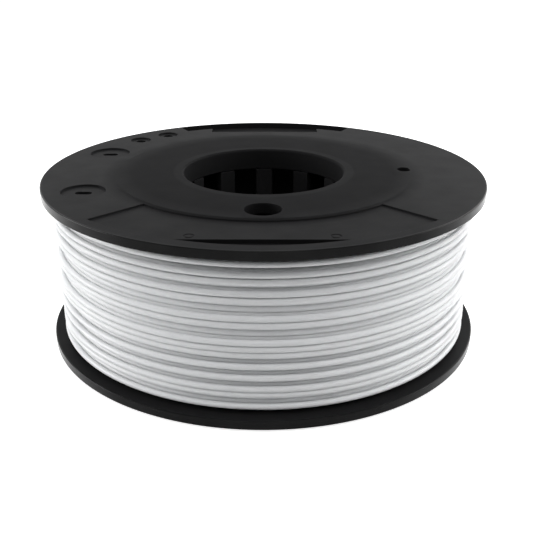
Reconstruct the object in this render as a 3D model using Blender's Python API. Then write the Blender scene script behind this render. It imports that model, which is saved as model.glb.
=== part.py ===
"""A spool of 1.75 mm filament, standing on one flange.

Metres, +Z up. The spool's axis is Z, and the origin is the middle of the face that it stands on.
-Y is the near side, where the drive hole and the sunk sector lie. Two like flanges snap onto the
ends of a ribbed hub. The strand lies on the hub in many layers, of which only the outer one is wound.
"""

from math import acos, asin, cos, pi, radians, sin, sqrt

import bmesh
import bpy

MM = 0.001

# Between moulded pieces, and between the strand and what it lies against.
CLEARANCE = 0.3 * MM

# The spool, from the bore outwards.
SPOOL_WIDTH = 53.0 * MM
BORE_RADIUS = 26.0 * MM
HUB_DEPTH = 21.2 * MM
WINDING_DEPTH = 20.4 * MM
FLANGE_MARGIN = 3.4 * MM

# Flange: a disc whose middle stands a little proud, so that the spool rests on it.
RIM_THICKNESS = 2.8 * MM
RIM_ROUNDING = 0.3 * MM
BORE_ROUNDING = 0.8 * MM
MIDDLE_MARGIN = 1.0 * MM
MIDDLE_RISE = 0.4 * MM
MIDDLE_SLOPE = 0.6 * MM

# Inside the flange, a collar lines the bore and a spigot centres the drum.
COLLAR_DEPTH = 7.0 * MM
COLLAR_WALL = 2.4 * MM
SPIGOT_WALL = 1.8 * MM

# Snap hooks, which stand on the spigot and click into slots in the drum.
HOOK_COUNT = 4
HOOK_WIDTH = 6.0 * MM
HOOK_STEP = 0.2 * MM
HOOK_LENGTH = 12.0 * MM
CATCH_INSET = 0.5 * MM
CATCH_HEIGHT = 2.6 * MM
CATCH_NOSE = 1.6 * MM

# Shallow quarter sector in the near side of the flange.
SECTOR_HALF_ANGLE = radians(45.1)
SECTOR_LAND = 0.2 * MM
SECTOR_RIM = 3.6 * MM
SECTOR_DEPTH = 0.5 * MM

# Label slot in that sector: a straight inner edge and a round outer one.
SLOT_RIM = 5.6 * MM
SLOT_WIDTH = 3.9 * MM
SLOT_FLOOR = 1.0 * MM

# Window pocket at the far side, which runs out on both sides into a groove along the rim.
WINDOW_RIM = 16.4 * MM
WINDOW_HALF_WIDTH = 20.6 * MM
WINDOW_FLOOR = 0.7 * MM
GROOVE_RIM = 0.9 * MM
GROOVE_WIDTH = 6.8 * MM
GROOVE_REACH = radians(9.2)

# The drive hole, and the notch in the hub behind it, take a winder's pin.
DRIVE_HOLE_RADIUS = 5.4 * MM
DRIVE_HOLE_INSET = 1.7 * MM
DRIVE_NOTCH_MARGIN = 0.6 * MM
DRIVE_NOTCH_DEPTH = 18.0 * MM

# The strand's inner end goes in through a notch in the drum's end, and out through this hole.
START_HOLE_RADIUS = 2.2 * MM
START_HOLE_INSET = 1.3 * MM
START_HOLE_AZIMUTH = radians(0.7)
START_NOTCH_MARGIN = 0.3 * MM
START_NOTCH_DEPTH = 9.0 * MM

# Two keeper slots, each at the bottom of a round recess, hold the loose end in use.
KEEPER_AZIMUTHS = [radians(157.6), radians(-157.6)]
KEEPER_RIM = 12.3 * MM
KEEPER_RECESS_RADIUS = 6.8 * MM
KEEPER_RECESS_DEPTH = 0.6 * MM
KEEPER_SLOT_LENGTH = 5.2 * MM
KEEPER_SLOT_WIDTH = 2.6 * MM

# Two small holes, each in a dimple, do the same nearer the rim.
DIMPLE_AZIMUTHS = [radians(126.7), radians(138.2)]
DIMPLE_RIM = 8.85 * MM
DIMPLE_RADIUS = 3.7 * MM
DIMPLE_DEPTH = 0.6 * MM
DIMPLE_HOLE_RADIUS = 1.7 * MM

# Hub: the drum, and bars on webs that carry on the bore between the two collars.
DRUM_WALL = 1.6 * MM
BAR_COUNT = 12
BAR_WIDTH = 5.6 * MM
BAR_THICKNESS = 2.4 * MM
WEB_THICKNESS = 1.8 * MM

# The strand's outer layer. Its turns lie in groups, and the list tells how many turns' room each
# one leaves above it, from the bottom up. A turn lies level, then climbs to the next at the far side.
FILAMENT_DIAMETER = 1.75 * MM
LEAST_TURN_GAP = 0.45 * MM
FIRST_TURN_MARGIN = 1.15 * MM
TURNS_LEFT_OUT = [1, 0, 1, 1, 1, 0, 0, 2, 0, 2, 0, 1, 0, 1]
LEFT_OUT_ROOM = 1.1 * MM
CLIMB_SHARE = 1 / 6
START_AZIMUTH = radians(125)
LAST_PART_TURN = 0.75

# The outer layer's ends: one goes into the layers below, the other into a blind hole in the flange.
START_BEND = 3.0 * MM
END_BEND = 2.0 * MM
END_HOLE_FLOOR = 1.0 * MM

# Fineness of round shapes, and how far a cutter stands out of what it cuts.
TURNED_STEPS = 60
HOLE_STEPS = 24
DRIVE_HOLE_STEPS = 32
SMALL_HOLE_STEPS = 16
POINTS_PER_TURN = 24
BEND_STEPS = 4
OVERCUT = 1.0 * MM

# Where an outline's first corner lies, as a share of the angle between two corners. The drive hole's
# corners stay clear of the lines between the flange's facets, also when the bore or hub change in size.
FIRST_CORNER = 0.5
DRIVE_HOLE_FIRST_CORNER = 0.16

SMOOTH_ANGLE = radians(35)

NEAR = -pi / 2
FAR = pi / 2

# Radii that follow from these sizes.
DRUM_RADIUS = BORE_RADIUS + HUB_DEPTH
DRUM_INNER_RADIUS = DRUM_RADIUS - DRUM_WALL
SPIGOT_RADIUS = DRUM_INNER_RADIUS - CLEARANCE
SPIGOT_INNER_RADIUS = SPIGOT_RADIUS - SPIGOT_WALL
WINDING_RADIUS = DRUM_RADIUS + WINDING_DEPTH
FLANGE_RADIUS = WINDING_RADIUS + FLANGE_MARGIN
MIDDLE_RADIUS = DRUM_RADIUS + MIDDLE_MARGIN
GROOVE_OUTER_RADIUS = FLANGE_RADIUS - GROOVE_RIM
GROOVE_INNER_RADIUS = GROOVE_OUTER_RADIUS - GROOVE_WIDTH
DRIVE_HOLE_OFFSET = DRUM_RADIUS - DRIVE_HOLE_INSET - DRIVE_HOLE_RADIUS
START_HOLE_OFFSET = DRUM_RADIUS - START_HOLE_INSET
FILAMENT_RADIUS = FILAMENT_DIAMETER / 2
PATH_RADIUS = WINDING_RADIUS - FILAMENT_RADIUS
LAYERS_RADIUS = PATH_RADIUS * cos(pi / POINTS_PER_TURN) - FILAMENT_RADIUS - CLEARANCE

# Heights that follow from them.
FLANGE_THICKNESS = RIM_THICKNESS + MIDDLE_RISE
LOWER_FACE = FLANGE_THICKNESS
UPPER_FACE = SPOOL_WIDTH - FLANGE_THICKNESS
WEB_END = COLLAR_DEPTH + CLEARANCE
FIRST_TURN = LOWER_FACE + FIRST_TURN_MARGIN + FILAMENT_RADIUS
END_TIP = SPOOL_WIDTH - MIDDLE_RISE - END_HOLE_FLOOR - CLEARANCE
LAST_TURN = END_TIP - FILAMENT_DIAMETER - END_BEND

# Azimuths of the outer layer's upper end.
END_AZIMUTH = START_AZIMUTH + 2 * pi * LAST_PART_TURN
END_HOLE_AZIMUTH = END_AZIMUTH + END_BEND / PATH_RADIUS


def clear_scene():
    for obj in list(bpy.data.objects):
        bpy.data.objects.remove(obj)


def plastic(name, colour, roughness):
    """An opaque plastic. The colour is linear red, green and blue."""
    material = bpy.data.materials.new(name)
    material.use_nodes = True
    shader = material.node_tree.nodes["Principled BSDF"]
    shader.inputs["Base Color"].default_value = (*colour, 1.0)
    shader.inputs["Roughness"].default_value = roughness
    shader.inputs["Metallic"].default_value = 0.0
    return material


def add_object(name, data, parent=None):
    obj = bpy.data.objects.new(name, data)
    bpy.context.scene.collection.objects.link(obj)
    obj.parent = parent
    return obj


def solid(name, bm):
    """An object with the faces of bm, all turned to face out."""
    bmesh.ops.recalc_face_normals(bm, faces=bm.faces)
    mesh = bpy.data.meshes.new(name)
    bm.to_mesh(mesh)
    bm.free()
    return add_object(name, mesh)


def polar(radius, azimuth):
    return radius * cos(azimuth), radius * sin(azimuth)


def arc(radius, start, end, centre=(0.0, 0.0), steps=TURNED_STEPS):
    """Points of an arc, both ends included. A whole turn would have the number of steps given."""
    count = max(1, round(abs(end - start) * steps / (2 * pi)))
    points = []
    for i in range(count + 1):
        x, y = polar(radius, start + (end - start) * i / count)
        points.append((centre[0] + x, centre[1] + y))
    return points


def circle(radius, centre, steps, first_corner=FIRST_CORNER):
    """Corners of a regular outline, none of which lies straight along X or Y from its centre."""
    first = 2 * pi / steps * first_corner
    return arc(radius, first, first + 2 * pi, centre, steps)[:-1]


def prism(name, outline, bottom, top):
    """A flat outline, raised from bottom to top."""
    bm = bmesh.new()
    floor = [bm.verts.new((x, y, bottom)) for x, y in outline]
    roof = [bm.verts.new((x, y, top)) for x, y in outline]
    bm.faces.new(floor)
    bm.faces.new(roof)
    for i in range(len(outline)):
        bm.faces.new((floor[i - 1], floor[i], roof[i], roof[i - 1]))
    return solid(name, bm)


def ring_of(bm, profile, angle):
    """The points of a (radius, height) outline, turned to an angle round Z."""
    return [bm.verts.new((*polar(radius, angle), height)) for radius, height in profile]


def join_rings(bm, before, after):
    for i in range(len(before)):
        bm.faces.new((before[i - 1], before[i], after[i], after[i - 1]))


def turned(name, profile):
    """A closed outline of (radius, height) points, turned all the way round Z."""
    bm = bmesh.new()
    rings = [ring_of(bm, profile, 2 * pi * i / TURNED_STEPS) for i in range(TURNED_STEPS)]
    for i, ring in enumerate(rings):
        join_rings(bm, rings[i - 1], ring)
    return solid(name, bm)


def wedge(name, profile, azimuth, width):
    """A closed outline of (radius, height) points, turned through the angle that width spans."""
    half_angle = width / (2 * max(radius for radius, height in profile))
    bm = bmesh.new()
    rings = [ring_of(bm, profile, azimuth + i * half_angle) for i in (-1, 0, 1)]
    join_rings(bm, rings[0], rings[1])
    join_rings(bm, rings[1], rings[2])
    bm.faces.new(rings[0])
    bm.faces.new(rings[2])
    return solid(name, bm)


def combine(obj, others, operation):
    """Joins the other solids to obj, or cuts them from it, and removes them."""
    for other in others:
        modifier = obj.modifiers.new(other.name, "BOOLEAN")
        modifier.operation = operation
        modifier.object = other
    graph = bpy.context.evaluated_depsgraph_get()
    obj.data = bpy.data.meshes.new_from_object(obj.evaluated_get(graph))
    obj.modifiers.clear()
    for other in others:
        bpy.data.objects.remove(other)


def finish(obj, material, parent):
    """Shades a piece smooth between its edges and hangs it on its parent."""
    obj.data.name = obj.name
    obj.data.materials.clear()
    obj.data.materials.append(material)
    obj.data.shade_smooth()
    obj.data.set_sharp_from_angle(angle=SMOOTH_ANGLE)
    obj.parent = parent


def rounded_corner(radius, height, size, outward, upward):
    """The middle point of a corner rounded to size, whose sides meet at (radius, height)."""
    inset = size * (1 - sqrt(0.5))
    return radius - outward * inset, height - upward * inset


def flange_profile():
    """Half section of a flange, with the face of its middle at height 0 and its inside below."""
    inside = -FLANGE_THICKNESS
    collar_outer = BORE_RADIUS + COLLAR_WALL
    return [
        (BORE_RADIUS, -COLLAR_DEPTH),
        (BORE_RADIUS, -BORE_ROUNDING),
        rounded_corner(BORE_RADIUS, 0.0, BORE_ROUNDING, -1, 1),
        (BORE_RADIUS + BORE_ROUNDING, 0.0),
        (MIDDLE_RADIUS - MIDDLE_SLOPE, 0.0),
        (MIDDLE_RADIUS, -MIDDLE_RISE),
        (FLANGE_RADIUS - RIM_ROUNDING, -MIDDLE_RISE),
        rounded_corner(FLANGE_RADIUS, -MIDDLE_RISE, RIM_ROUNDING, 1, 1),
        (FLANGE_RADIUS, -MIDDLE_RISE - RIM_ROUNDING),
        (FLANGE_RADIUS, inside + RIM_ROUNDING),
        rounded_corner(FLANGE_RADIUS, inside, RIM_ROUNDING, 1, -1),
        (FLANGE_RADIUS - RIM_ROUNDING, inside),
        (SPIGOT_RADIUS, inside),
        (SPIGOT_RADIUS, -COLLAR_DEPTH),
        (SPIGOT_INNER_RADIUS, -COLLAR_DEPTH),
        (SPIGOT_INNER_RADIUS, inside),
        (collar_outer, inside),
        (collar_outer, -COLLAR_DEPTH),
    ]


def hook_azimuths():
    """The hooks stand midway between ribs, as evenly as the ribs allow."""
    places = [round(i * BAR_COUNT / HOOK_COUNT) + 1.5 for i in range(HOOK_COUNT)]
    return [FAR + 2 * pi * place / BAR_COUNT for place in places]


def hook_profile():
    """Half section of a snap hook: a stem, and a catch with a sloping nose at its end."""
    root = -FLANGE_THICKNESS + OVERCUT
    tip = -FLANGE_THICKNESS - HOOK_LENGTH
    catch_radius = DRUM_RADIUS - CATCH_INSET
    return [
        (SPIGOT_INNER_RADIUS + HOOK_STEP, root),
        (SPIGOT_INNER_RADIUS + HOOK_STEP, tip),
        (SPIGOT_RADIUS - HOOK_STEP, tip),
        (catch_radius, tip + CATCH_NOSE),
        (catch_radius, tip + CATCH_HEIGHT),
        (SPIGOT_RADIUS - HOOK_STEP, tip + CATCH_HEIGHT),
        (SPIGOT_RADIUS - HOOK_STEP, root),
    ]


def sector_outline():
    first = NEAR - SECTOR_HALF_ANGLE
    last = NEAR + SECTOR_HALF_ANGLE
    outer_edge = arc(FLANGE_RADIUS - SECTOR_RIM, first, last)
    inner_edge = arc(MIDDLE_RADIUS + SECTOR_LAND, last, first)
    return outer_edge + inner_edge


def slot_outline():
    radius = FLANGE_RADIUS - SLOT_RIM
    half_angle = acos((radius - SLOT_WIDTH) / radius)
    return arc(radius, NEAR - half_angle, NEAR + half_angle)


def window_outline():
    """The window's straight inner edge and sides, then the groove, which is a band along the rim."""
    inner_edge = FLANGE_RADIUS - WINDOW_RIM
    corner = FAR - asin(WINDOW_HALF_WIDTH / GROOVE_INNER_RADIUS)
    groove_end = corner - GROOVE_REACH
    outline = [(-WINDOW_HALF_WIDTH, inner_edge), (WINDOW_HALF_WIDTH, inner_edge)]
    outline += arc(GROOVE_INNER_RADIUS, corner, groove_end)
    outline += arc(GROOVE_OUTER_RADIUS, groove_end, pi - groove_end)
    outline += arc(GROOVE_INNER_RADIUS, pi - groove_end, pi - corner)
    return outline


def keeper_slot_outline(centre):
    """A slot with round ends, its length along X."""
    radius = KEEPER_SLOT_WIDTH / 2
    reach = KEEPER_SLOT_LENGTH / 2 - radius
    right = arc(radius, -pi / 2, pi / 2, (centre[0] + reach, centre[1]), SMALL_HOLE_STEPS)
    left = arc(radius, pi / 2, 3 * pi / 2, (centre[0] - reach, centre[1]), SMALL_HOLE_STEPS)
    return right + left


def pocket_cutter(outline, depth):
    """Sinks an outline into the flange's outer face, round the middle."""
    return prism("pocket", outline, -MIDDLE_RISE - depth, OVERCUT)


def hole_cutter(outline):
    """Cuts an outline right through the flange, and through the collar or spigot behind it."""
    return prism("hole", outline, -COLLAR_DEPTH - OVERCUT, OVERCUT)


def end_hole_cutter():
    """The blind hole in the inner face that the winding's end stops in."""
    outline = circle(FILAMENT_RADIUS + CLEARANCE, polar(PATH_RADIUS, END_HOLE_AZIMUTH), SMALL_HOLE_STEPS)
    return prism("end_hole", outline, -FLANGE_THICKNESS - OVERCUT, -MIDDLE_RISE - END_HOLE_FLOOR)


def flange_cutters():
    drive_centre = polar(DRIVE_HOLE_OFFSET, NEAR)
    drive_hole = circle(DRIVE_HOLE_RADIUS, drive_centre, DRIVE_HOLE_STEPS, DRIVE_HOLE_FIRST_CORNER)
    start_hole = circle(START_HOLE_RADIUS, polar(START_HOLE_OFFSET, START_HOLE_AZIMUTH), SMALL_HOLE_STEPS)
    cutters = [
        pocket_cutter(sector_outline(), SECTOR_DEPTH),
        pocket_cutter(slot_outline(), RIM_THICKNESS - SLOT_FLOOR),
        pocket_cutter(window_outline(), RIM_THICKNESS - WINDOW_FLOOR),
        hole_cutter(drive_hole),
        hole_cutter(start_hole),
        end_hole_cutter(),
    ]
    for azimuth in KEEPER_AZIMUTHS:
        centre = polar(FLANGE_RADIUS - KEEPER_RIM, azimuth)
        cutters.append(pocket_cutter(circle(KEEPER_RECESS_RADIUS, centre, HOLE_STEPS), KEEPER_RECESS_DEPTH))
        cutters.append(hole_cutter(keeper_slot_outline(centre)))
    for azimuth in DIMPLE_AZIMUTHS:
        centre = polar(FLANGE_RADIUS - DIMPLE_RIM, azimuth)
        cutters.append(pocket_cutter(circle(DIMPLE_RADIUS, centre, SMALL_HOLE_STEPS), DIMPLE_DEPTH))
        cutters.append(hole_cutter(circle(DIMPLE_HOLE_RADIUS, centre, SMALL_HOLE_STEPS)))
    return cutters


def make_flanges(material, parent):
    """Both flanges are one moulding: the lower one is turned over about Y."""
    upper = turned("upper_flange", flange_profile())
    hooks = [wedge("hook", hook_profile(), azimuth, HOOK_WIDTH) for azimuth in hook_azimuths()]
    combine(upper, hooks, "UNION")
    combine(upper, flange_cutters(), "DIFFERENCE")
    finish(upper, material, parent)
    upper.location.z = SPOOL_WIDTH
    lower = add_object("lower_flange", upper.data, parent)
    lower.rotation_euler.y = pi


def rib_outline(azimuth):
    """A bar on its web, from the bore to inside the drum's wall."""
    bar_angle = BAR_WIDTH / (2 * BORE_RADIUS)
    bar_back = BORE_RADIUS + BAR_THICKNESS
    root = DRUM_RADIUS - DRUM_WALL / 2
    back_angle = asin(WEB_THICKNESS / (2 * bar_back))
    root_angle = asin(WEB_THICKNESS / (2 * root))
    outline = arc(BORE_RADIUS, azimuth + bar_angle, azimuth - bar_angle)
    outline += [polar(bar_back, azimuth - bar_angle), polar(bar_back, azimuth - back_angle)]
    outline += [polar(root, azimuth - root_angle), polar(root, azimuth + root_angle)]
    outline += [polar(bar_back, azimuth + back_angle), polar(bar_back, azimuth + bar_angle)]
    return outline


def hook_slot_cutters():
    """The drum's slots, each a clearance larger all round than the catch that sits in it."""
    inner = SPIGOT_INNER_RADIUS
    outer = DRUM_RADIUS + OVERCUT
    near_end = FLANGE_THICKNESS + HOOK_LENGTH - CATCH_HEIGHT - CLEARANCE
    far_end = FLANGE_THICKNESS + HOOK_LENGTH + CLEARANCE
    width = HOOK_WIDTH + 2 * CLEARANCE
    slots = []
    for azimuth in hook_azimuths():
        lower = [(inner, near_end), (inner, far_end), (outer, far_end), (outer, near_end)]
        upper = [(radius, SPOOL_WIDTH - height) for radius, height in lower]
        slots.append(wedge("lower_slot", lower, pi - azimuth, width))
        slots.append(wedge("upper_slot", upper, azimuth, width))
    return slots


def notch_cutters(radius, offset, azimuth, depth):
    """Room in both ends of the hub, behind the like holes of the two flanges."""
    lower = circle(radius, polar(offset, pi - azimuth), HOLE_STEPS)
    upper = circle(radius, polar(offset, azimuth), HOLE_STEPS)
    return [
        prism("lower_notch", lower, LOWER_FACE - OVERCUT, depth),
        prism("upper_notch", upper, SPOOL_WIDTH - depth, UPPER_FACE + OVERCUT),
    ]


def make_hub(material, parent):
    low = LOWER_FACE + CLEARANCE
    high = UPPER_FACE - CLEARANCE
    drum = [(DRUM_INNER_RADIUS, low), (DRUM_INNER_RADIUS, high), (DRUM_RADIUS, high), (DRUM_RADIUS, low)]
    hub = turned("hub", drum)
    ribs = []
    for i in range(BAR_COUNT):
        outline = rib_outline(FAR + 2 * pi * i / BAR_COUNT)
        ribs.append(prism("rib", outline, WEB_END, SPOOL_WIDTH - WEB_END))
    combine(hub, ribs, "UNION")
    cutters = hook_slot_cutters()
    drive_room = DRIVE_HOLE_RADIUS + DRIVE_NOTCH_MARGIN
    cutters += notch_cutters(drive_room, DRIVE_HOLE_OFFSET, NEAR, DRIVE_NOTCH_DEPTH)
    start_room = START_HOLE_RADIUS + START_NOTCH_MARGIN
    cutters += notch_cutters(start_room, START_HOLE_OFFSET, START_HOLE_AZIMUTH, START_NOTCH_DEPTH)
    combine(hub, cutters, "DIFFERENCE")
    finish(hub, material, parent)


def start_notch_cutter():
    """Room for the strand where it climbs out of the layers below, at the lower flange."""
    side = FILAMENT_RADIUS + CLEARANCE
    deep = PATH_RADIUS - START_BEND - FILAMENT_DIAMETER - CLEARANCE
    shallow = WINDING_RADIUS + OVERCUT
    back = -START_BEND - side
    outline = []
    for out, along in ((deep, back), (shallow, back), (shallow, side), (deep, side)):
        x, y = polar(out, START_AZIMUTH)
        dx, dy = polar(along, START_AZIMUTH + pi / 2)
        outline.append((x + dx, y + dy))
    return prism("start_notch", outline, LOWER_FACE - OVERCUT, FIRST_TURN + side)


def make_inner_layers(material, parent):
    """The layers under the outer one, as a plain ring."""
    inner = DRUM_RADIUS + CLEARANCE
    low = LOWER_FACE + CLEARANCE
    high = UPPER_FACE - CLEARANCE
    section = [(inner, low), (inner, high), (LAYERS_RADIUS, high), (LAYERS_RADIUS, low)]
    layers = turned("filament_inner_layers", section)
    combine(layers, [start_notch_cutter()], "DIFFERENCE")
    finish(layers, material, parent)


def turn_heights():
    """The heights of the turns that fit, stretched a little so that the last one is in its place."""
    heights = [FIRST_TURN]
    while True:
        left_out = TURNS_LEFT_OUT[(len(heights) - 1) % len(TURNS_LEFT_OUT)]
        height = heights[-1] + FILAMENT_DIAMETER + LEAST_TURN_GAP + left_out * LEFT_OUT_ROOM
        if height > LAST_TURN:
            break
        heights.append(height)
    stretch = (LAST_TURN - FIRST_TURN) / (heights[-1] - FIRST_TURN)
    return [FIRST_TURN + (height - FIRST_TURN) * stretch for height in heights]


def height_after(turns, heights):
    """The strand's height after so many turns. It climbs in the last share of each turn."""
    turn = min(int(turns), len(heights) - 1)
    rise = heights[min(turn + 1, len(heights) - 1)] - heights[turn]
    climbed = max(0.0, 1 - (turn + 1 - turns) / CLIMB_SHARE)
    return heights[turn] + rise * climbed**2 * (3 - 2 * climbed)


def winding_path(heights):
    """The centre line of the outer layer, as (radius, azimuth, height) points.

    It comes straight out of the layers below and bends into the turns. At the upper flange it
    bends up and runs straight into the end hole.
    """
    start_depth = PATH_RADIUS - START_BEND
    path = [(start_depth - FILAMENT_DIAMETER, START_AZIMUTH - START_BEND / PATH_RADIUS, FIRST_TURN)]
    for i in range(BEND_STEPS):
        bend = pi / 2 * i / BEND_STEPS
        azimuth = START_AZIMUTH - START_BEND * cos(bend) / PATH_RADIUS
        path.append((start_depth + START_BEND * sin(bend), azimuth, FIRST_TURN))
    for i in range(round((len(heights) - 1 + LAST_PART_TURN) * POINTS_PER_TURN) + 1):
        turns = i / POINTS_PER_TURN
        path.append((PATH_RADIUS, START_AZIMUTH + 2 * pi * turns, height_after(turns, heights)))
    for i in range(1, BEND_STEPS + 1):
        bend = pi / 2 * i / BEND_STEPS
        azimuth = END_AZIMUTH + END_BEND * sin(bend) / PATH_RADIUS
        path.append((PATH_RADIUS, azimuth, LAST_TURN + END_BEND * (1 - cos(bend))))
    path.append((PATH_RADIUS, END_HOLE_AZIMUTH, END_TIP))
    return path


def least_gap(points):
    """The smallest space between stretches of the strand that lie half a turn or more apart."""
    least = min(
        sqrt(sum((a - b) ** 2 for a, b in zip(points[i], points[j])))
        for i in range(len(points))
        for j in range(i + POINTS_PER_TURN // 2, len(points))
    )
    return least - FILAMENT_DIAMETER


def make_outer_layer(material, parent):
    """The turns that show: one unbroken strand."""
    heights = turn_heights()
    points = [(*polar(radius, azimuth), height) for radius, azimuth, height in winding_path(heights)]
    curve = bpy.data.curves.new("filament_outer_layer", "CURVE")
    curve.dimensions = "3D"
    curve.bevel_depth = FILAMENT_RADIUS
    curve.bevel_resolution = 1
    curve.use_fill_caps = True
    spline = curve.splines.new("POLY")
    spline.points.add(len(points) - 1)
    for point, place in zip(spline.points, points):
        point.co = (*place, 1.0)
    curve.materials.append(material)
    add_object("filament_outer_layer", curve, parent)
    print(f"{len(heights)} turns, with a least gap of {least_gap(points) / MM:.2f} mm between them")


def main():
    clear_scene()
    spool = add_object("spool", None)
    make_flanges(plastic("flange plastic", (0.030, 0.030, 0.031), 0.42), spool)
    make_hub(plastic("hub plastic", (0.022, 0.022, 0.023), 0.50), spool)
    make_inner_layers(plastic("filament in the layers below", (0.66, 0.67, 0.70), 0.40), spool)
    make_outer_layer(plastic("filament", (0.80, 0.81, 0.84), 0.35), spool)


main()
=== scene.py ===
"""Dresses the filament spool: fine flanges and hub, the wound strand, materials, camera and light.

Metres, +Z up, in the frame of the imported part. Each piece is made from named sizes and from the
boxes of the part's own nodes, and takes the place of a plain node.
"""

from math import acos, asin, cos, pi, radians, sin, sqrt

import bmesh
import bpy
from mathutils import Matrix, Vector


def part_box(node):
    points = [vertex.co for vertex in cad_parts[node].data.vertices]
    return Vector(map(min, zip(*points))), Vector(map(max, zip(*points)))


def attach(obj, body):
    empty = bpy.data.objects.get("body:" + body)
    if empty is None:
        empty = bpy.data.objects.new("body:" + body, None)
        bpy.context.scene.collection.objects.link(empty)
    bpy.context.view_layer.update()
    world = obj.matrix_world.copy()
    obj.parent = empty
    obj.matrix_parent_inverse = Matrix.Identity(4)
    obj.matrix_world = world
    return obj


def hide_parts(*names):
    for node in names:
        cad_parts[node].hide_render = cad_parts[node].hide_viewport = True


MM = 0.001
BODY = "root"

# Between moulded pieces, and between the strand and what it lies against.
CLEARANCE = 0.3 * MM

# Bore, drum and winding, from the inside out.
BORE_RADIUS = 26.0 * MM
DRUM_RADIUS = 47.2 * MM
DRUM_WALL = 1.6 * MM
WINDING_RADIUS = 67.6 * MM

# Flange section.
RIM_THICKNESS = 2.8 * MM
RIM_ROUNDING = 0.3 * MM
BORE_ROUNDING = 0.8 * MM
LIP_WIDTH = 3.0 * MM
MIDDLE_RADIUS = 48.2 * MM
MIDDLE_RISE = 0.4 * MM
MIDDLE_SLOPE = 0.6 * MM
FLANGE_THICKNESS = RIM_THICKNESS + MIDDLE_RISE
COLLAR_DEPTH = 7.0 * MM
COLLAR_WALL = 2.4 * MM
SPIGOT_WALL = 1.8 * MM

# Snap hooks on the spigot, and their slots in the drum.
HOOK_AZIMUTHS = [radians(45 + 90 * i) for i in range(4)]
HOOK_WIDTH = 6.0 * MM
HOOK_STEP = 0.2 * MM
HOOK_LENGTH = 12.0 * MM
CATCH_INSET = 0.5 * MM
CATCH_HEIGHT = 2.6 * MM
CATCH_NOSE = 1.6 * MM

# Pockets and holes of the flange.
SECTOR_HALF_ANGLE = radians(45.1)
SECTOR_LAND = 0.2 * MM
SECTOR_RIM = 3.6 * MM
SECTOR_DEPTH = 0.5 * MM
SLOT_RIM = 5.6 * MM
SLOT_WIDTH = 3.9 * MM
SLOT_FLOOR = 1.0 * MM
WINDOW_RIM = 16.4 * MM
WINDOW_HALF_WIDTH = 20.6 * MM
WINDOW_FLOOR = 0.7 * MM
GROOVE_RIM = 0.9 * MM
GROOVE_WIDTH = 6.8 * MM
GROOVE_REACH = radians(9.2)
DRIVE_HOLE_RADIUS = 5.4 * MM
DRIVE_HOLE_OFFSET = 40.1 * MM
DRIVE_NOTCH_MARGIN = 0.6 * MM
DRIVE_NOTCH_DEPTH = 18.0 * MM
START_HOLE_RADIUS = 2.2 * MM
START_HOLE_INSET = 1.3 * MM
START_HOLE_AZIMUTH = radians(0.7)
START_NOTCH_MARGIN = 0.3 * MM
START_NOTCH_DEPTH = 9.0 * MM
KEEPER_AZIMUTHS = [radians(157.6), radians(-157.6)]
KEEPER_RIM = 12.3 * MM
KEEPER_RECESS_RADIUS = 6.8 * MM
KEEPER_RECESS_DEPTH = 0.6 * MM
KEEPER_SLOT_LENGTH = 5.2 * MM
KEEPER_SLOT_WIDTH = 2.6 * MM
DIMPLE_AZIMUTHS = [radians(126.7), radians(138.2)]
DIMPLE_RIM = 8.85 * MM
DIMPLE_RADIUS = 3.7 * MM
DIMPLE_DEPTH = 0.6 * MM
DIMPLE_HOLE_RADIUS = 1.7 * MM

# Two small round marks beside the slot.
MARK_OFFSET = 19.1 * MM
MARK_LINE_Y = -58.9 * MM
MARK_RADIUS = 1.5 * MM
MARK_LINE = 0.45 * MM
MARK_DEPTH = 0.2 * MM

# Ribs of the hub.
BAR_COUNT = 12
BAR_WIDTH = 5.6 * MM
BAR_THICKNESS = 2.4 * MM
WEB_THICKNESS = 1.8 * MM

# The strand. Its outermost turns fill only some of the places in the outer layer, counted from the
# lower flange, and the layer below shows in the empty ones.
FILAMENT_DIAMETER = 1.75 * MM
FILLED_PLACES = [0, 2, 3, 5, 7, 9, 10, 11, 14, 15, 18, 19, 21, 22, 24]
PLACES = 25
LOWEST_TURN = 5.23 * MM
HIGHEST_TURN = 47.33 * MM
TURN_SHIFTS = [0, 2, 2, 2, 1, 1, 1, 2, 2, 3, 2, 4, 2, 5, 0]
TURN_SHIFT = 0.1 * MM
CLIMB_SHARE = 1 / 6
START_AZIMUTH = radians(125)
LAST_PART_TURN = 0.75
END_BEND = 2.0 * MM
END_HOLE_FLOOR = 1.0 * MM

# Fineness.
TURNED_STEPS = 240
HOLE_STEPS = 64
SMALL_HOLE_STEPS = 40
STRAND_STEPS = 144
STRAND_SIDES = 16
FILLET_STEPS = 6
OVERCUT = 1.0 * MM

# Moulded edges steeper than the angle are rounded, once corners closer than the weld are merged.
EDGE_ROUNDING = 0.12 * MM
EDGE_ANGLE = radians(38)
EDGE_STEPS = 2
WELD = 0.01 * MM

# Looks of the plastics. The grain is the size of the spots, and the bump is their height.
FLANGE_LOOK = {
    "colour": (0.012, 0.012, 0.0125),
    "roughness": 0.45,
    "gloss": 0.03,
    "speckle": 0.10,
    "grain": 0.5 * MM,
    "bump": 0.01 * MM,
}
HUB_LOOK = {
    "colour": (0.014, 0.014, 0.0145),
    "roughness": 0.5,
    "gloss": 0.05,
    "speckle": 0.10,
    "grain": 0.5 * MM,
    "bump": 0.01 * MM,
}
STRAND_LOOK = {
    "colour": (0.80, 0.808, 0.818),
    "roughness": 0.32,
    "gloss": 0.27,
    "speckle": 0.02,
    "grain": 0.7 * MM,
    "bump": 0.004 * MM,
    "glow_depth": 0.9 * MM,
}
GRAIN_DETAIL = 3.0
ROUGHNESS_RANGE = (0.85, 1.15)

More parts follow.
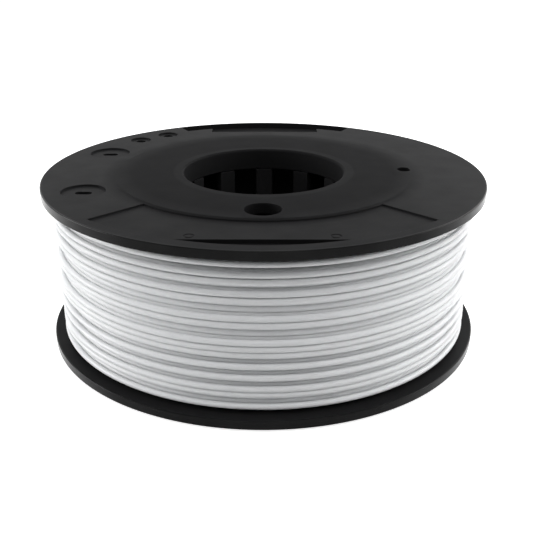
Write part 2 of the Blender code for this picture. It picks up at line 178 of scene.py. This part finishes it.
# The flange's finish changes with the radius, over these widths, from the lip by the bore through
# the middle to the face and the rim, and round the rim its colour is darkened as painted shade.
LIP_BLEND = 0.6 * MM
MIDDLE_BLEND_IN = 6 * MM
MIDDLE_BLEND_OUT = 4 * MM
RIM_BLEND = 0.2 * MM
LIP_GLOSS = 0.021
MIDDLE_GLOSS = 0.013
FACE_GLOSS = 0.022
RIM_GLOSS = 0.08
MIDDLE_ROUGHNESS = 0.6
FACE_ROUGHNESS = 0.45
RIM_ROUGHNESS = 0.15
# The rim's base colour is multiplied by the next value as painted shade; the plastic itself is no
# darker there.
RIM_PAINTED_SHADE = 0.3
PATCH_SIZE = 9 * MM
PATCH_RANGE = (0.6, 1.4)

# Camera, fitted to both rims in the photograph.
PHOTO_SIZE = 536
FOCAL_PIXELS = 789.6
SENSOR_WIDTH = 36.0
CAMERA_PLACE = (1.45 * MM, -250.3 * MM, 124.5 * MM)
CAMERA_PITCH = radians(23.05)
CAMERA_ROLL = radians(0.086)
CLIP_START = 0.01
CLIP_END = 20.0

# Lamps, all at one distance from the middle of the spool: name, azimuth and elevation in degrees,
# the square's side in metres, and power in watts.
LAMP_DISTANCE = 0.7
LAMPS = [
    ("left_low", 180, 4, 0.4, 4.2),
    ("left_high", 180, 40, 0.5, 0.8),
    ("right_low", 0, 4, 0.4, 2.4),
    ("right_high", 0, 40, 0.5, 1.8),
    ("front_middle", 270, 50, 0.5, 0.7),
    ("front_high", 270, 72, 0.5, 1.4),
    ("back_left", 135, 25, 0.5, 0.6),
    ("back_right", 45, 25, 0.5, 1.6),
]
SOFT_LIGHT = 0.02

# The floor. Its own glow lights nothing, and rises from the spool outwards to so many radii.
FLOOR_REACH = 2.0
FLOOR_DROP = 0.2 * MM
FLOOR_PAINT = 0.8
FLOOR_ROUGHNESS = 0.9
FLOOR_GLOW_RANGE = (0.8, 1.0)
FLOOR_GLOW_REACH = 3

NEAR = -pi / 2
FAR = pi / 2

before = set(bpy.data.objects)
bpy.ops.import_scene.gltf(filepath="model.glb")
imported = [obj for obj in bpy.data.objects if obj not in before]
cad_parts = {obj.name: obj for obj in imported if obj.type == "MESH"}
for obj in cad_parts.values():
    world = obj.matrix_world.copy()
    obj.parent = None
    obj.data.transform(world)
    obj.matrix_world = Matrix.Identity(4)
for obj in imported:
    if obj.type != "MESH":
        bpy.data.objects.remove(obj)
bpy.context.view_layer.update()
upper_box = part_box("upper_flange")
SPOOL_WIDTH = upper_box[1].z
FLANGE_RADIUS = upper_box[1].x

DRUM_INNER_RADIUS = DRUM_RADIUS - DRUM_WALL
SPIGOT_RADIUS = DRUM_INNER_RADIUS - CLEARANCE
SPIGOT_INNER_RADIUS = SPIGOT_RADIUS - SPIGOT_WALL
GROOVE_OUTER_RADIUS = FLANGE_RADIUS - GROOVE_RIM
GROOVE_INNER_RADIUS = GROOVE_OUTER_RADIUS - GROOVE_WIDTH
START_HOLE_OFFSET = DRUM_RADIUS - START_HOLE_INSET
FILAMENT_RADIUS = FILAMENT_DIAMETER / 2
PATH_RADIUS = WINDING_RADIUS - FILAMENT_RADIUS
PLACE_PITCH = (HIGHEST_TURN - LOWEST_TURN) / (PLACES - 1)
LAYER_STEP = sqrt(FILAMENT_DIAMETER**2 - (PLACE_PITCH / 2) ** 2)


def add_object(name, data):
    obj = bpy.data.objects.new(name, data)
    bpy.context.scene.collection.objects.link(obj)
    return obj


def solid(name, bm):
    """An object with the faces of bm, all turned to face out."""
    bmesh.ops.recalc_face_normals(bm, faces=bm.faces)
    mesh = bpy.data.meshes.new(name)
    bm.to_mesh(mesh)
    bm.free()
    return add_object(name, mesh)


def polar(radius, azimuth):
    return radius * cos(azimuth), radius * sin(azimuth)


def arc(radius, start, end, centre=(0.0, 0.0), steps=TURNED_STEPS):
    """Points of an arc, both ends included. A whole turn would have the number of steps given."""
    count = max(1, round(abs(end - start) * steps / (2 * pi)))
    points = []
    for i in range(count + 1):
        x, y = polar(radius, start + (end - start) * i / count)
        points.append((centre[0] + x, centre[1] + y))
    return points


def circle(radius, centre, steps):
    first = pi / steps
    return arc(radius, first, first + 2 * pi, centre, steps)[:-1]


def prism(name, outline, bottom, top):
    bm = bmesh.new()
    floor = [bm.verts.new((x, y, bottom)) for x, y in outline]
    roof = [bm.verts.new((x, y, top)) for x, y in outline]
    bm.faces.new(floor)
    bm.faces.new(roof)
    for i in range(len(outline)):
        bm.faces.new((floor[i - 1], floor[i], roof[i], roof[i - 1]))
    return solid(name, bm)


def ring_of(bm, profile, angle):
    return [bm.verts.new((*polar(radius, angle), height)) for radius, height in profile]


def join_rings(bm, before, after):
    for i in range(len(before)):
        bm.faces.new((before[i - 1], before[i], after[i], after[i - 1]))


def turned(name, profile, steps=TURNED_STEPS):
    """A closed outline of (radius, height) points, turned all the way round Z."""
    bm = bmesh.new()
    rings = [ring_of(bm, profile, 2 * pi * i / steps) for i in range(steps)]
    for i, ring in enumerate(rings):
        join_rings(bm, rings[i - 1], ring)
    return solid(name, bm)


def wedge(name, profile, azimuth, width):
    """A closed outline of (radius, height) points, turned through the angle that width spans."""
    half_angle = width / (2 * max(radius for radius, height in profile))
    bm = bmesh.new()
    rings = [ring_of(bm, profile, azimuth + i * half_angle) for i in (-1, 0, 1)]
    join_rings(bm, rings[0], rings[1])
    join_rings(bm, rings[1], rings[2])
    bm.faces.new(rings[0])
    bm.faces.new(rings[2])
    return solid(name, bm)


def apply_modifiers(obj):
    graph = bpy.context.evaluated_depsgraph_get()
    obj.data = bpy.data.meshes.new_from_object(obj.evaluated_get(graph))
    obj.modifiers.clear()


def combine(obj, others, operation):
    """Joins the other solids to obj, or cuts them from it, and removes them."""
    for other in others:
        modifier = obj.modifiers.new(other.name, "BOOLEAN")
        modifier.operation = operation
        modifier.object = other
    apply_modifiers(obj)
    for other in others:
        bpy.data.objects.remove(other)


def soften_edges(obj):
    """Rounds each edge that a mould or a cutter leaves sharp, and shades the faces evenly."""
    bm = bmesh.new()
    bm.from_mesh(obj.data)
    bmesh.ops.remove_doubles(bm, verts=bm.verts, dist=WELD)
    bm.to_mesh(obj.data)
    bm.free()
    bevel = obj.modifiers.new("edges", "BEVEL")
    bevel.width = EDGE_ROUNDING
    bevel.segments = EDGE_STEPS
    bevel.limit_method = "ANGLE"
    bevel.angle_limit = EDGE_ANGLE
    bevel.use_clamp_overlap = False
    obj.modifiers.new("normals", "WEIGHTED_NORMAL")
    obj.data.shade_smooth()
    apply_modifiers(obj)


def rounded(corner, size, start, end):
    """Points of a fillet in a section: the corner is where its two straight sides would meet."""
    centre_radius = corner[0] - size * (1 if cos((start + end) / 2) > 0 else -1)
    centre_height = corner[1] - size * (1 if sin((start + end) / 2) > 0 else -1)
    points = []
    for i in range(FILLET_STEPS + 1):
        x, y = polar(size, start + (end - start) * i / FILLET_STEPS)
        points.append((centre_radius + x, centre_height + y))
    return points


def flange_profile():
    """Half section of a flange, with the face of its middle at height 0 and its inside below."""
    inside = -FLANGE_THICKNESS
    collar_outer = BORE_RADIUS + COLLAR_WALL
    profile = [(BORE_RADIUS, -COLLAR_DEPTH)]
    profile += rounded((BORE_RADIUS, 0.0), BORE_ROUNDING, pi, pi / 2)
    profile += [(MIDDLE_RADIUS - MIDDLE_SLOPE, 0.0), (MIDDLE_RADIUS, -MIDDLE_RISE)]
    profile += rounded((FLANGE_RADIUS, -MIDDLE_RISE), RIM_ROUNDING, pi / 2, 0.0)
    profile += rounded((FLANGE_RADIUS, inside), RIM_ROUNDING, 0.0, -pi / 2)
    profile += [
        (SPIGOT_RADIUS, inside),
        (SPIGOT_RADIUS, -COLLAR_DEPTH),
        (SPIGOT_INNER_RADIUS, -COLLAR_DEPTH),
        (SPIGOT_INNER_RADIUS, inside),
        (collar_outer, inside),
        (collar_outer, -COLLAR_DEPTH),
    ]
    return profile


def hook_profile():
    """Half section of a snap hook: a stem, and a catch with a sloping nose at its end."""
    root = -FLANGE_THICKNESS + OVERCUT
    tip = -FLANGE_THICKNESS - HOOK_LENGTH
    catch_radius = DRUM_RADIUS - CATCH_INSET
    return [
        (SPIGOT_INNER_RADIUS + HOOK_STEP, root),
        (SPIGOT_INNER_RADIUS + HOOK_STEP, tip),
        (SPIGOT_RADIUS - HOOK_STEP, tip),
        (catch_radius, tip + CATCH_NOSE),
        (catch_radius, tip + CATCH_HEIGHT),
        (SPIGOT_RADIUS - HOOK_STEP, tip + CATCH_HEIGHT),
        (SPIGOT_RADIUS - HOOK_STEP, root),
    ]


def sector_outline():
    first = NEAR - SECTOR_HALF_ANGLE
    last = NEAR + SECTOR_HALF_ANGLE
    outer = arc(FLANGE_RADIUS - SECTOR_RIM, first, last)
    return outer + arc(MIDDLE_RADIUS + SECTOR_LAND, last, first)


def slot_outline():
    radius = FLANGE_RADIUS - SLOT_RIM
    half_angle = acos((radius - SLOT_WIDTH) / radius)
    return arc(radius, NEAR - half_angle, NEAR + half_angle)


def window_outline():
    """The window's straight inner edge and sides, then the groove, a band along the rim."""
    inner_edge = FLANGE_RADIUS - WINDOW_RIM
    corner = FAR - asin(WINDOW_HALF_WIDTH / GROOVE_INNER_RADIUS)
    groove_end = corner - GROOVE_REACH
    outline = [(-WINDOW_HALF_WIDTH, inner_edge), (WINDOW_HALF_WIDTH, inner_edge)]
    outline += arc(GROOVE_INNER_RADIUS, corner, groove_end)
    outline += arc(GROOVE_OUTER_RADIUS, groove_end, pi - groove_end)
    outline += arc(GROOVE_INNER_RADIUS, pi - groove_end, pi - corner)
    return outline


def keeper_slot_outline(centre):
    """A slot with round ends, its length along X."""
    radius = KEEPER_SLOT_WIDTH / 2
    reach = KEEPER_SLOT_LENGTH / 2 - radius
    right = arc(radius, -pi / 2, pi / 2, (centre[0] + reach, centre[1]), SMALL_HOLE_STEPS)
    left = arc(radius, pi / 2, 3 * pi / 2, (centre[0] - reach, centre[1]), SMALL_HOLE_STEPS)
    return right + left


def pocket_cutter(outline, depth):
    """Sinks an outline into the flange's outer face, round the middle."""
    return prism("pocket", outline, -MIDDLE_RISE - depth, OVERCUT)


def hole_cutter(outline):
    """Cuts an outline right through the flange, and through the collar or spigot behind it."""
    return prism("hole", outline, -COLLAR_DEPTH - OVERCUT, OVERCUT)


def end_azimuth():
    return START_AZIMUTH + 2 * pi * LAST_PART_TURN + END_BEND / PATH_RADIUS


def end_hole_cutter():
    """The blind hole in the inner face that the winding's end stops in."""
    centre = polar(PATH_RADIUS, end_azimuth())
    outline = circle(FILAMENT_RADIUS + CLEARANCE, centre, SMALL_HOLE_STEPS)
    return prism("end_hole", outline, -FLANGE_THICKNESS - OVERCUT, -MIDDLE_RISE - END_HOLE_FLOOR)


def mark_cutter(centre):
    """A round groove in the sector's floor."""
    floor = -MIDDLE_RISE - SECTOR_DEPTH - MARK_DEPTH
    inner = MARK_RADIUS - MARK_LINE
    section = [(inner, floor), (inner, OVERCUT), (MARK_RADIUS, OVERCUT), (MARK_RADIUS, floor)]
    cutter = turned("mark", section, SMALL_HOLE_STEPS)
    cutter.location.x, cutter.location.y = centre
    return cutter


def flange_cutters():
    drive_hole = circle(DRIVE_HOLE_RADIUS, polar(DRIVE_HOLE_OFFSET, NEAR), HOLE_STEPS)
    start_centre = polar(START_HOLE_OFFSET, START_HOLE_AZIMUTH)
    start_hole = circle(START_HOLE_RADIUS, start_centre, SMALL_HOLE_STEPS)
    cutters = [
        pocket_cutter(sector_outline(), SECTOR_DEPTH),
        pocket_cutter(slot_outline(), RIM_THICKNESS - SLOT_FLOOR),
        pocket_cutter(window_outline(), RIM_THICKNESS - WINDOW_FLOOR),
        hole_cutter(drive_hole),
        hole_cutter(start_hole),
        end_hole_cutter(),
        mark_cutter((-MARK_OFFSET, MARK_LINE_Y)),
        mark_cutter((MARK_OFFSET, MARK_LINE_Y)),
    ]
    for azimuth in KEEPER_AZIMUTHS:
        centre = polar(FLANGE_RADIUS - KEEPER_RIM, azimuth)
        recess = circle(KEEPER_RECESS_RADIUS, centre, HOLE_STEPS)
        cutters.append(pocket_cutter(recess, KEEPER_RECESS_DEPTH))
        cutters.append(hole_cutter(keeper_slot_outline(centre)))
    for azimuth in DIMPLE_AZIMUTHS:
        centre = polar(FLANGE_RADIUS - DIMPLE_RIM, azimuth)
        dimple = circle(DIMPLE_RADIUS, centre, HOLE_STEPS)
        cutters.append(pocket_cutter(dimple, DIMPLE_DEPTH))
        cutters.append(hole_cutter(circle(DIMPLE_HOLE_RADIUS, centre, SMALL_HOLE_STEPS)))
    return cutters


def place(piece, material, slot, *nodes):
    """Gives a piece its material, and sets it in the frame in place of the nodes named."""
    piece.data.name = piece.name
    piece.data.materials.clear()
    piece.data.materials.append(material)
    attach(piece, BODY)
    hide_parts(*nodes)


def make_flanges(material):
    """Both flanges are one moulding: the lower one is turned over about Y."""
    upper = turned("upper_flange_fine", flange_profile())
    hooks = [wedge("hook", hook_profile(), azimuth, HOOK_WIDTH) for azimuth in HOOK_AZIMUTHS]
    combine(upper, hooks, "UNION")
    combine(upper, flange_cutters(), "DIFFERENCE")
    soften_edges(upper)
    lower = add_object("lower_flange_fine", upper.data.copy())
    upper.location.z = SPOOL_WIDTH
    lower.rotation_euler.y = pi
    place(upper, material, "flange_plastic", "upper_flange")
    place(lower, material, "flange_plastic", "lower_flange")


def rib_outline(azimuth):
    """A bar on its web, from the bore to inside the drum's wall."""
    bar_angle = BAR_WIDTH / (2 * BORE_RADIUS)
    bar_back = BORE_RADIUS + BAR_THICKNESS
    root = DRUM_RADIUS - DRUM_WALL / 2
    back_angle = asin(WEB_THICKNESS / (2 * bar_back))
    root_angle = asin(WEB_THICKNESS / (2 * root))
    outline = arc(BORE_RADIUS, azimuth + bar_angle, azimuth - bar_angle)
    outline += [polar(bar_back, azimuth - bar_angle), polar(bar_back, azimuth - back_angle)]
    outline += [polar(root, azimuth - root_angle), polar(root, azimuth + root_angle)]
    outline += [polar(bar_back, azimuth + back_angle), polar(bar_back, azimuth + bar_angle)]
    return outline


def hook_slot_cutters():
    inner = SPIGOT_INNER_RADIUS
    outer = DRUM_RADIUS + OVERCUT
    near_end = FLANGE_THICKNESS + HOOK_LENGTH - CATCH_HEIGHT - CLEARANCE
    far_end = FLANGE_THICKNESS + HOOK_LENGTH + CLEARANCE
    width = HOOK_WIDTH + 2 * CLEARANCE
    slots = []
    for azimuth in HOOK_AZIMUTHS:
        lower = [(inner, near_end), (inner, far_end), (outer, far_end), (outer, near_end)]
        upper = [(radius, SPOOL_WIDTH - height) for radius, height in lower]
        slots.append(wedge("lower_slot", lower, azimuth, width))
        slots.append(wedge("upper_slot", upper, azimuth, width))
    return slots


def notch_cutters(radius, offset, azimuth, depth):
    """Room in both ends of the hub, behind the like holes of the two flanges."""
    lower = circle(radius, polar(offset, pi - azimuth), HOLE_STEPS)
    upper = circle(radius, polar(offset, azimuth), HOLE_STEPS)
    return [
        prism("lower_notch", lower, FLANGE_THICKNESS - OVERCUT, depth),
        prism("upper_notch", upper, SPOOL_WIDTH - depth, SPOOL_WIDTH - OVERCUT),
    ]


def make_hub(material):
    low, high = (corner.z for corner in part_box("hub"))
    web_end = COLLAR_DEPTH + CLEARANCE
    drum = [
        (DRUM_INNER_RADIUS, low),
        (DRUM_INNER_RADIUS, high),
        (DRUM_RADIUS, high),
        (DRUM_RADIUS, low),
    ]
    hub = turned("hub_fine", drum)
    ribs = []
    for i in range(BAR_COUNT):
        outline = rib_outline(FAR + 2 * pi * i / BAR_COUNT)
        ribs.append(prism("rib", outline, web_end, SPOOL_WIDTH - web_end))
    combine(hub, ribs, "UNION")
    cutters = hook_slot_cutters()
    drive_room = DRIVE_HOLE_RADIUS + DRIVE_NOTCH_MARGIN
    cutters += notch_cutters(drive_room, DRIVE_HOLE_OFFSET, NEAR, DRIVE_NOTCH_DEPTH)
    start_room = START_HOLE_RADIUS + START_NOTCH_MARGIN
    cutters += notch_cutters(start_room, START_HOLE_OFFSET, START_HOLE_AZIMUTH, START_NOTCH_DEPTH)
    combine(hub, cutters, "DIFFERENCE")
    soften_edges(hub)
    place(hub, material, "hub_plastic", "hub")


def level_then_climb(turns, levels):
    """The strand's level after so many turns: steady, then a change at the end of each turn."""
    turn = min(int(turns), len(levels) - 1)
    rise = levels[min(turn + 1, len(levels) - 1)] - levels[turn]
    climbed = max(0.0, 1 - (turn + 1 - turns) / CLIMB_SHARE)
    return levels[turn] + rise * climbed**2 * (3 - 2 * climbed)


def tube(name, path, radius):
    """A round strand along path, a list of points, with closed ends."""
    bm = bmesh.new()
    rings = []
    for i, point in enumerate(path):
        ahead = path[min(i + 1, len(path) - 1)] - path[max(i - 1, 0)]
        ahead.normalize()
        outward = Vector((point.x, point.y, 0.0))
        outward = (outward - outward.dot(ahead) * ahead).normalized()
        across = ahead.cross(outward)
        ring = []
        for j in range(STRAND_SIDES):
            u, v = polar(radius, 2 * pi * j / STRAND_SIDES)
            ring.append(bm.verts.new(point + outward * u + across * v))
        rings.append(ring)
    for before, after in zip(rings, rings[1:]):
        join_rings(bm, before, after)
    bm.faces.new(rings[0])
    bm.faces.new(rings[-1])
    obj = solid(name, bm)
    obj.data.shade_smooth()
    return obj


def outer_path():
    heights = [
        LOWEST_TURN + PLACE_PITCH * place + TURN_SHIFT * shift
        for place, shift in zip(FILLED_PLACES, TURN_SHIFTS)
    ]
    path = []
    for i in range(round((len(heights) - 1 + LAST_PART_TURN) * STRAND_STEPS) + 1):
        turns = i / STRAND_STEPS
        x, y = polar(PATH_RADIUS, START_AZIMUTH + 2 * pi * turns)
        path.append(Vector((x, y, level_then_climb(turns, heights))))
    return path


def under_path():
    """The layer below lies in the valleys of the outer one, and is wound the other way."""
    heights = [LOWEST_TURN + PLACE_PITCH * (place + 0.5) for place in range(PLACES - 1)]
    path = []
    for i in range((len(heights) - 1) * STRAND_STEPS + 1):
        turns = i / STRAND_STEPS
        x, y = polar(PATH_RADIUS - LAYER_STEP, START_AZIMUTH - 2 * pi * turns)
        path.append(Vector((x, y, level_then_climb(turns, heights))))
    return path


def make_winding(material):
    outer = tube("filament_outer_turns", outer_path(), FILAMENT_RADIUS)
    place(outer, material, "filament", "filament_outer_layer")
    under = tube("filament_turns_below", under_path(), FILAMENT_RADIUS)
    low, high = (corner.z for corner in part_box("filament_inner_layers"))
    core_radius = PATH_RADIUS - LAYER_STEP - FILAMENT_RADIUS
    section = [
        (DRUM_RADIUS + CLEARANCE, low),
        (DRUM_RADIUS + CLEARANCE, high),
        (core_radius, high),
        (core_radius, low),
    ]
    core = turned("filament_core", section)
    place(under, material, "filament", "filament_inner_layers")
    place(core, material, "filament", "filament_inner_layers")


def noise_of(nodes, links, where, grain):
    """Fine noise over a piece, from 0 to 1. The grain is the size of its spots."""
    noise = nodes.new("ShaderNodeTexNoise")
    noise.inputs["Scale"].default_value = 1 / grain
    noise.inputs["Detail"].default_value = GRAIN_DETAIL
    links.new(where, noise.inputs["Vector"])
    return noise.outputs["Fac"]


def scaled(nodes, links, source, low, high):
    """A value from 0 to 1 as one between low and high."""
    span = nodes.new("ShaderNodeMapRange")
    span.inputs["To Min"].default_value = low
    span.inputs["To Max"].default_value = high
    links.new(source, span.inputs["Value"])
    return span.outputs["Result"]


def product(nodes, links, first, second):
    node = nodes.new("ShaderNodeMath")
    node.operation = "MULTIPLY"
    links.new(first, node.inputs[0])
    links.new(second, node.inputs[1])
    return node.outputs["Value"]


def plastic(name, colour, roughness, gloss, speckle, grain, bump, glow_depth=0.0):
    """Moulded or drawn plastic with a fine grain, whose relief is bump high.

    In a milky one, light spreads under the surface over about glow_depth.
    """
    material = bpy.data.materials.new(name)
    material.use_nodes = True
    nodes = material.node_tree.nodes
    links = material.node_tree.links
    shader = nodes["Principled BSDF"]
    shader.inputs["Specular IOR Level"].default_value = gloss
    if glow_depth:
        shader.inputs["Subsurface Weight"].default_value = 1.0
        shader.inputs["Subsurface Radius"].default_value = (1.0, 1.0, 1.0)
        shader.inputs["Subsurface Scale"].default_value = glow_depth
    where = nodes.new("ShaderNodeTexCoord").outputs["Object"]
    noise = noise_of(nodes, links, where, grain)
    tint = nodes.new("ShaderNodeMix")
    tint.data_type = "RGBA"
    tint.inputs["A"].default_value = (*[c * (1 - speckle) for c in colour], 1.0)
    tint.inputs["B"].default_value = (*[c * (1 + speckle) for c in colour], 1.0)
    links.new(noise, tint.inputs["Factor"])
    links.new(tint.outputs["Result"], shader.inputs["Base Color"])
    low, high = (roughness * share for share in ROUGHNESS_RANGE)
    links.new(scaled(nodes, links, noise, low, high), shader.inputs["Roughness"])
    relief = nodes.new("ShaderNodeBump")
    relief.inputs["Strength"].default_value = 1.0
    relief.inputs["Distance"].default_value = bump
    links.new(noise, relief.inputs["Height"])
    links.new(relief.outputs["Normal"], shader.inputs["Normal"])
    return material


def by_radius(nodes, links, where, stops):
    """A value that depends on the distance from the axis, from (radius, value) pairs."""
    flat = nodes.new("ShaderNodeVectorMath")
    flat.operation = "MULTIPLY"
    flat.inputs[1].default_value = (1 / FLANGE_RADIUS, 1 / FLANGE_RADIUS, 0.0)
    links.new(where, flat.inputs[0])
    distance = nodes.new("ShaderNodeVectorMath")
    distance.operation = "LENGTH"
    links.new(flat.outputs["Vector"], distance.inputs[0])
    ramp = nodes.new("ShaderNodeValToRGB")
    while len(ramp.color_ramp.elements) < len(stops):
        ramp.color_ramp.elements.new(0.5)
    for element, (radius, value) in zip(ramp.color_ramp.elements, stops):
        element.position = radius / FLANGE_RADIUS
        element.color = (value, value, value, 1.0)
    links.new(distance.outputs["Value"], ramp.inputs["Fac"])
    return ramp.outputs["Color"]


def flange_plastic():
    """Satin on the faces, duller and patchy in the sunk middle, and polished round the rim, whose
    colour is darkened there as painted shade.
    """
    material = plastic("flange plastic", **FLANGE_LOOK)
    nodes = material.node_tree.nodes
    links = material.node_tree.links
    shader = nodes["Principled BSDF"]
    where = nodes.new("ShaderNodeTexCoord").outputs["Object"]
    lip = BORE_RADIUS + LIP_WIDTH
    middle = MIDDLE_RADIUS - MIDDLE_BLEND_IN
    face = MIDDLE_RADIUS + MIDDLE_BLEND_OUT
    rim = FLANGE_RADIUS - RIM_BLEND
    gloss = by_radius(nodes, links, where, [
        (lip, LIP_GLOSS),
        (lip + LIP_BLEND, MIDDLE_GLOSS),
        (middle, MIDDLE_GLOSS),
        (face, FACE_GLOSS),
        (rim - RIM_BLEND, FACE_GLOSS),
        (rim, RIM_GLOSS),
    ])
    patches = scaled(nodes, links, noise_of(nodes, links, where, PATCH_SIZE), *PATCH_RANGE)
    links.new(product(nodes, links, gloss, patches), shader.inputs["Specular IOR Level"])
    roughness = by_radius(nodes, links, where, [
        (middle, MIDDLE_ROUGHNESS),
        (face, FACE_ROUGHNESS),
        (rim - RIM_BLEND, FACE_ROUGHNESS),
        (rim, RIM_ROUGHNESS),
    ])
    links.new(roughness, shader.inputs["Roughness"])
    # Painted shade: the base colour darkens over the last RIM_BLEND towards the rim edge, standing
    # in for the shaded rim.
    painted_rim_shade = by_radius(nodes, links, where, [(rim - RIM_BLEND, 1.0), (rim, RIM_PAINTED_SHADE)])
    painted_shade_node = nodes.new("ShaderNodeVectorMath")
    painted_shade_node.operation = "MULTIPLY"
    links.new(shader.inputs["Base Color"].links[0].from_socket, painted_shade_node.inputs[0])
    links.new(painted_rim_shade, painted_shade_node.inputs[1])
    links.new(painted_shade_node.outputs["Vector"], shader.inputs["Base Color"])
    return material


def seen_directly(nodes, links):
    """1 for rays from the camera, in reflections and through clear things, and 0 for the rest."""
    path = nodes.new("ShaderNodeLightPath")
    total = path.outputs["Is Camera Ray"]
    for kind in ("Is Glossy Ray", "Is Transmission Ray"):
        larger = nodes.new("ShaderNodeMath")
        larger.operation = "MAXIMUM"
        links.new(total, larger.inputs[0])
        links.new(path.outputs[kind], larger.inputs[1])
        total = larger.outputs["Value"]
    return total


def make_floor():
    """A pale floor that is white to the camera, and still takes the spool's shadow close to it."""
    bm = bmesh.new()
    corners = [(-1, -1), (1, -1), (1, 1), (-1, 1)]
    square = [(x * FLOOR_REACH, y * FLOOR_REACH, -FLOOR_DROP) for x, y in corners]
    bm.faces.new([bm.verts.new(corner) for corner in square])
    floor = solid("floor", bm)
    material = bpy.data.materials.new("floor")
    material.use_nodes = True
    nodes = material.node_tree.nodes
    links = material.node_tree.links
    paint = nodes["Principled BSDF"]
    paint.inputs["Base Color"].default_value = (FLOOR_PAINT, FLOOR_PAINT, FLOOR_PAINT, 1.0)
    paint.inputs["Roughness"].default_value = FLOOR_ROUGHNESS
    where = nodes.new("ShaderNodeTexCoord")
    distance = nodes.new("ShaderNodeVectorMath")
    distance.operation = "LENGTH"
    links.new(where.outputs["Object"], distance.inputs[0])
    glow_share = nodes.new("ShaderNodeMapRange")
    glow_share.inputs["From Min"].default_value = FLANGE_RADIUS
    glow_share.inputs["From Max"].default_value = FLOOR_GLOW_REACH * FLANGE_RADIUS
    glow_share.inputs["To Min"].default_value = FLOOR_GLOW_RANGE[0]
    glow_share.inputs["To Max"].default_value = FLOOR_GLOW_RANGE[1]
    links.new(distance.outputs["Value"], glow_share.inputs["Value"])
    strength = nodes.new("ShaderNodeMath")
    strength.operation = "MULTIPLY"
    links.new(glow_share.outputs["Result"], strength.inputs[0])
    links.new(seen_directly(nodes, links), strength.inputs[1])
    glow = nodes.new("ShaderNodeEmission")
    links.new(strength.outputs["Value"], glow.inputs["Strength"])
    both = nodes.new("ShaderNodeAddShader")
    links.new(paint.outputs["BSDF"], both.inputs[0])
    links.new(glow.outputs["Emission"], both.inputs[1])
    links.new(both.outputs["Shader"], nodes["Material Output"].inputs["Surface"])
    floor.data.materials.append(material)


def make_world():
    """White to the camera and in reflections, and a weak grey light for the rest."""
    world = bpy.data.worlds.new("studio")
    bpy.context.scene.world = world
    world.use_nodes = True
    nodes = world.node_tree.nodes
    links = world.node_tree.links
    soft = nodes["Background"]
    soft.inputs["Color"].default_value = (1.0, 1.0, 1.0, 1.0)
    soft.inputs["Strength"].default_value = SOFT_LIGHT
    white = nodes.new("ShaderNodeBackground")
    white.inputs["Color"].default_value = (1.0, 1.0, 1.0, 1.0)
    white.inputs["Strength"].default_value = 1.0
    mix = nodes.new("ShaderNodeMixShader")
    links.new(seen_directly(nodes, links), mix.inputs["Fac"])
    links.new(soft.outputs["Background"], mix.inputs[1])
    links.new(white.outputs["Background"], mix.inputs[2])
    links.new(mix.outputs["Shader"], nodes["World Output"].inputs["Surface"])


def add_lamp(name, position, size, power):
    """A square lamp that faces the middle of the spool."""
    lamp = bpy.data.lights.new(name, "AREA")
    lamp.shape = "SQUARE"
    lamp.size = size
    lamp.energy = power
    obj = add_object(name, lamp)
    obj.location = position
    aim = Vector((0.0, 0.0, SPOOL_WIDTH / 2)) - Vector(position)
    obj.rotation_euler = aim.to_track_quat("-Z", "Y").to_euler()


def make_lights():
    """Two lamps on each side, two in front and two weak ones behind."""
    for name, azimuth, elevation, size, power in LAMPS:
        x, y = polar(LAMP_DISTANCE * cos(radians(elevation)), radians(azimuth))
        height = SPOOL_WIDTH / 2 + LAMP_DISTANCE * sin(radians(elevation))
        add_lamp(name, (x, y, height), size, power)


def make_camera():
    camera = bpy.data.cameras.new("camera")
    camera.sensor_fit = "HORIZONTAL"
    camera.sensor_width = SENSOR_WIDTH
    camera.lens = FOCAL_PIXELS * SENSOR_WIDTH / PHOTO_SIZE
    camera.clip_start = CLIP_START
    camera.clip_end = CLIP_END
    obj = add_object("camera", camera)
    obj.location = CAMERA_PLACE
    obj.rotation_mode = "ZXY"
    obj.rotation_euler = (pi / 2 - CAMERA_PITCH, 0.0, CAMERA_ROLL)
    bpy.context.scene.camera = obj


bpy.context.scene.view_settings.view_transform = "Standard"
make_camera()
make_floor()
make_world()
make_lights()
make_flanges(flange_plastic())
make_hub(plastic("hub plastic", **HUB_LOOK))
make_winding(plastic("filament plastic", **STRAND_LOOK))
